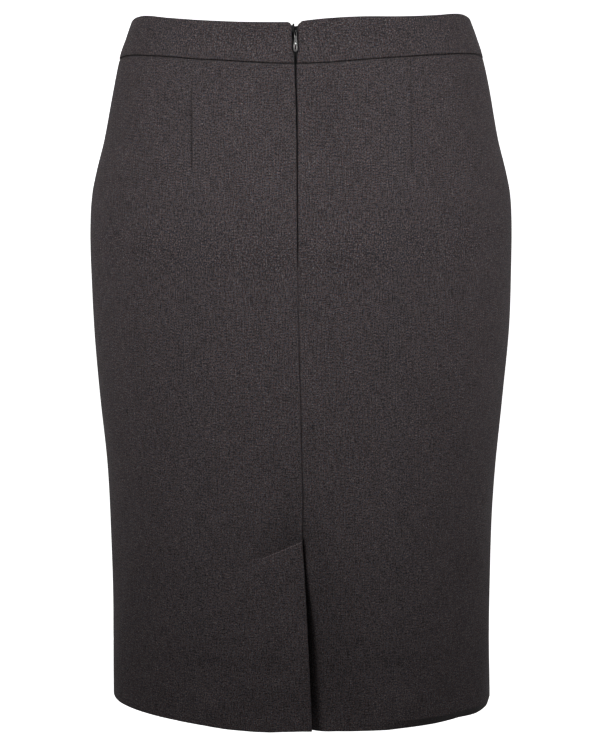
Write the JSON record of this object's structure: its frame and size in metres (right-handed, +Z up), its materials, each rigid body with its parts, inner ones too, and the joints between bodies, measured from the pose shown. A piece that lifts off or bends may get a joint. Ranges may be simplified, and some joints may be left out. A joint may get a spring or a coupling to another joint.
{
  "type": "pencil skirt",
  "caption": "Knee-length pencil skirt with a shaped waistband, back darts, a concealed centre back zip and a lapped back vent.",
  "frame": {"origin": "middle of the waist, at half the height of the waistband", "axes": "+Z up towards the waist, -Y out of the back with the zip and the vent, +X to the wearer's right"},
  "size_m": [0.3732, 0.2555, 0.6184],
  "materials": {
    "suiting": "matte charcoal melange wool suiting, plain fine weave",
    "zip_tape": "matte black knitted zip tape",
    "zip_metal": "dark nickel, satin"
  },
  "bodies": {
    "skirt": {"front_panel": "suiting", "back_panel_left": "suiting", "back_panel_right": "suiting", "waistband_front": "suiting", "waistband_back_left": "suiting", "waistband_back_right": "suiting", "zip_tape_left": "zip_tape", "zip_tape_right": "zip_tape", "zip_slider": "zip_metal"},
    "pull": {"zip_pull": "zip_metal"}
  },
  "joints": [
    {"name": "pull_swing", "type": "hinge", "parent": "skirt", "child": "pull", "pos_m": [-0.0049, -0.09469, 0.0022], "axis": [-1, 0, 0], "range_deg": [0, 165]}
  ]
}
